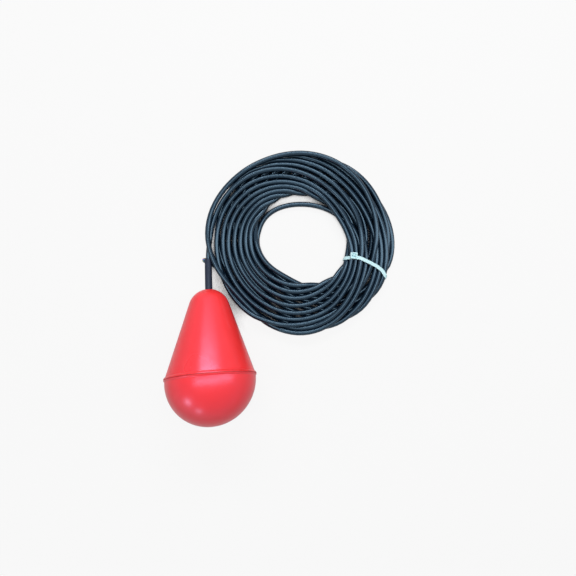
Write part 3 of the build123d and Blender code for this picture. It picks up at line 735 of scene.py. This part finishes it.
# %% Plastics and metals inside
def moulded(name, dark, light, roughness, pieces):
    """A moulded plastic with a drifting tone and a fine skin."""
    material, shader, place = finish(name, {"IOR": 1.5})
    drift = place.noise(110, 3)
    feed(shader, "Base Color", drift.blend((*dark, 1), (*light, 1)))
    feed(shader, "Roughness", roughness + drift * 0.14)
    feed(shader, "Normal", place.noise(2200, 3).bump(0.18, 0.0003))
    dress(material, pieces)


def worked_metal(name, dark, light, roughness, streak, pieces):
    """A metal with rolling or turning streaks in its gloss and a trace of tarnish."""
    material, shader, place = finish(name, {"Metallic": 1.0})
    lines = place.stretched(streak).noise(900, 4, 0.6)
    tarnish = place.noise(150, 4).above(0.55, 0.2)
    feed(shader, "Base Color", tarnish.blend((*light, 1), (*dark, 1)))
    feed(shader, "Roughness", roughness + lines * 0.16 + tarnish * 0.08)
    feed(shader, "Normal", lines.bump(0.08, 0.0002))
    dress(material, pieces)


moulded("ivory_carrier", (0.68, 0.62, 0.47), (0.78, 0.73, 0.58), 0.36, ["switch_carrier", "tube_cap"])
moulded("black_switch_case", (0.012, 0.012, 0.013), (0.028, 0.028, 0.030), 0.34,
        ["switch_base", "switch_cover"])
moulded("white_plunger", (0.74, 0.74, 0.71), (0.84, 0.84, 0.82), 0.3, ["switch_plunger"])
moulded("grey_gland_nut", (0.10, 0.10, 0.11), (0.16, 0.16, 0.17), 0.38, ["gland_nut"])
moulded("blue_core", (0.02, 0.10, 0.42), (0.03, 0.15, 0.55), 0.34, ["core_blue", "tail_core_blue"])
moulded("brown_core", (0.12, 0.045, 0.018), (0.19, 0.07, 0.03), 0.34, ["core_brown", "tail_core_brown"])
moulded("green_core", (0.10, 0.36, 0.10), (0.42, 0.62, 0.16), 0.34, ["core_green", "tail_core_green"])
worked_metal("plated_steel", (0.46, 0.46, 0.45), (0.66, 0.66, 0.66), 0.24, (1, 6, 6),
             ["gland_washer", "cable_stop_ring", "carrier_screws", "switch_screws", "switch_nuts",
              "lever_pin", "switch_lever"])
worked_metal("polished_steel", (0.60, 0.60, 0.61), (0.74, 0.74, 0.76), 0.06, (1, 1, 1), ["steel_ball"])
worked_metal("plain_brass", (0.55, 0.36, 0.12), (0.80, 0.58, 0.24), 0.22, (5, 1, 1),
             ["terminal_common", "terminal_open", "terminal_closed", "crimp_receptacles", "contact_blade"])
worked_metal("bare_copper", (0.62, 0.24, 0.12), (0.90, 0.44, 0.28), 0.24, (1, 1, 8), ["tail_strands"])
plain = sorted(name for name in nodes if "finish" not in nodes[name] and
               name not in ("cable_coil", "cable_lead", "cable_tail", "cable_tie"))
print("nodes still without a finish", plain)

# %% [markdown]
# The ground has to be pure white, but more light on the object would bleach its colours. So the ground
# is told which ray asks: to the camera and to reflections it shows itself as white, and to all other
# rays it is ordinary. This small sum of three answers is used by the table and by the surround.

# %% Which ray asks
answers = ("Is Camera Ray", "Is Glossy Ray", "Is Transmission Ray")


def seen_directly(link, mirrored=1.0):
    """1 for camera rays, and this share of 1 for the glossy and transmission rays."""
    camera_ray, glossy_ray, transmission_ray = [
        link.node("ShaderNodeLightPath", output=answer) for answer in answers]
    return link.math("MINIMUM", camera_ray + (glossy_ray + transmission_ray) * mirrored, 1.0)


print("rays told apart", len(answers))

# %% [markdown]
# The table is one large pale sheet. The real picture has a pure white ground with hardly a shadow, so
# most of what the camera sees of the sheet shines by itself at the strength of white, and a share of it
# stays a plain diffuse surface that keeps the soft shadow. In reflections the glow is weaker, or the
# float's rims would turn too pale, and close to the pieces it fades further: that is painted shade in what
# the float reflects. Where pieces close the table in, as between two strands, the glow fades out and the
# sheet's own colour turns nearly black, or every narrow gap would shine: that is painted shade in the gaps.

# %% Table
table_half = 3.0
glow_share = 0.89
mirrored_share = 0.4
corners = [(-table_half, -table_half, 0), (table_half, -table_half, 0), (table_half, table_half, 0),
           (-table_half, table_half, 0)]
table_mesh = bpy.data.meshes.new("table")
table_mesh.from_pydata(corners, [], [(0, 1, 2, 3)])
table = placed("table", table_mesh)
pale = bpy.data.materials.new("pale_table")
pale.use_nodes = True
pale.node_tree.nodes.clear()
start = Link(pale.node_tree, None)
glow = start.node("ShaderNodeEmission", {}, {"Color": (1, 1, 1, 1), "Strength": 1.0})
# Painted shade: the AO node's openness fades the table's glow and darkens its own colour where pieces close
# it in, and fades the glow that reflections see near the pieces.
openness = start.node("ShaderNodeAmbientOcclusion", {"samples": 8}, {"Distance": 0.030}, output="AO")
outside_painted_shade = openness.above(0.34, 0.10)
# The near-black end of this blend is painted shade, used where the table is closed in.
diffuse = start.node("ShaderNodeBsdfDiffuse", {},
                     {"Color": outside_painted_shade.blend((0.04, 0.04, 0.04, 1), (0.5, 0.5, 0.5, 1))})
glow_seen = outside_painted_shade * seen_directly(start, openness.above(0.80, 0.18) * mirrored_share)
mixed = start.node("ShaderNodeMixShader", {}, {0: glow_seen * glow_share, 1: diffuse, 2: glow})
start.node("ShaderNodeOutputMaterial", {}, {"Surface": mixed})
table.data.materials.append(pale)
print("table in m", 2 * table_half)

# %% [markdown]
# The surround is white to the camera and to reflections, as in a white room, and dim to everything
# else. So the lamps shape the pieces, and the sides that face away from them turn dark.

# %% Surround
world = bpy.data.worlds.new("studio")
bpy.context.scene.world = world
world.use_nodes = True
world.node_tree.nodes.clear()
start = Link(world.node_tree, None)
surround_level = 0.10
level = surround_level + seen_directly(start) * (1 - surround_level)
background = start.node("ShaderNodeBackground", {}, {"Color": (1, 1, 1, 1), "Strength": level})
start.node("ShaderNodeOutputWorld", {}, {"Surface": background})
print("surround nodes", len(world.node_tree.nodes))

# %% [markdown]
# The light is a plain soft studio. One long lamp overhead lays the broad highlight on the float's round
# half and the shine on the strands, and one beyond the coil lays the highlight on the cone. They are
# long and narrow because the real highlights are. Two small ones low at the front left leave the two
# small spots on the round half. Their power is such that colours come out about as they are written.

# %% Lamps
def soft_lamp(name, place, target, size, power):
    """A flat lamp that looks at a point, with its first side kept along the frame's X."""
    data = bpy.data.lights.new(name, "AREA")
    data.shape = "RECTANGLE"
    data.size, data.size_y = size
    data.energy = power
    back = (Vector(place) - Vector(target)).normalized()
    side = (Vector((1, 0, 0)) - back * back.x).normalized()
    turned = Matrix((side, back.cross(side), back)).transposed()
    placed(name, data).matrix_world = Matrix.Translation(place) @ turned.to_4x4()


soft_lamp("overhead_soft_lamp", (0.6, 0.22, 1.5), (0.15, 0.06, 0.0), (3.5, 0.44), 22.5)
soft_lamp("far_soft_lamp", (0.2, 1.12, 0.96), (0.0, 0.0, 0.07), (1.2, 0.34), 14.2)
soft_lamp("low_side_lamp", (-0.9, -0.74, 0.72), (0.0, -0.04, 0.05), (0.25, 0.25), 1.7)
soft_lamp("low_front_lamp", (-0.5, -1.15, 0.6), (0.0, -0.04, 0.05), (0.19, 0.19), 0.85)
bpy.context.scene.view_settings.view_transform = "Standard"

# %% [markdown]
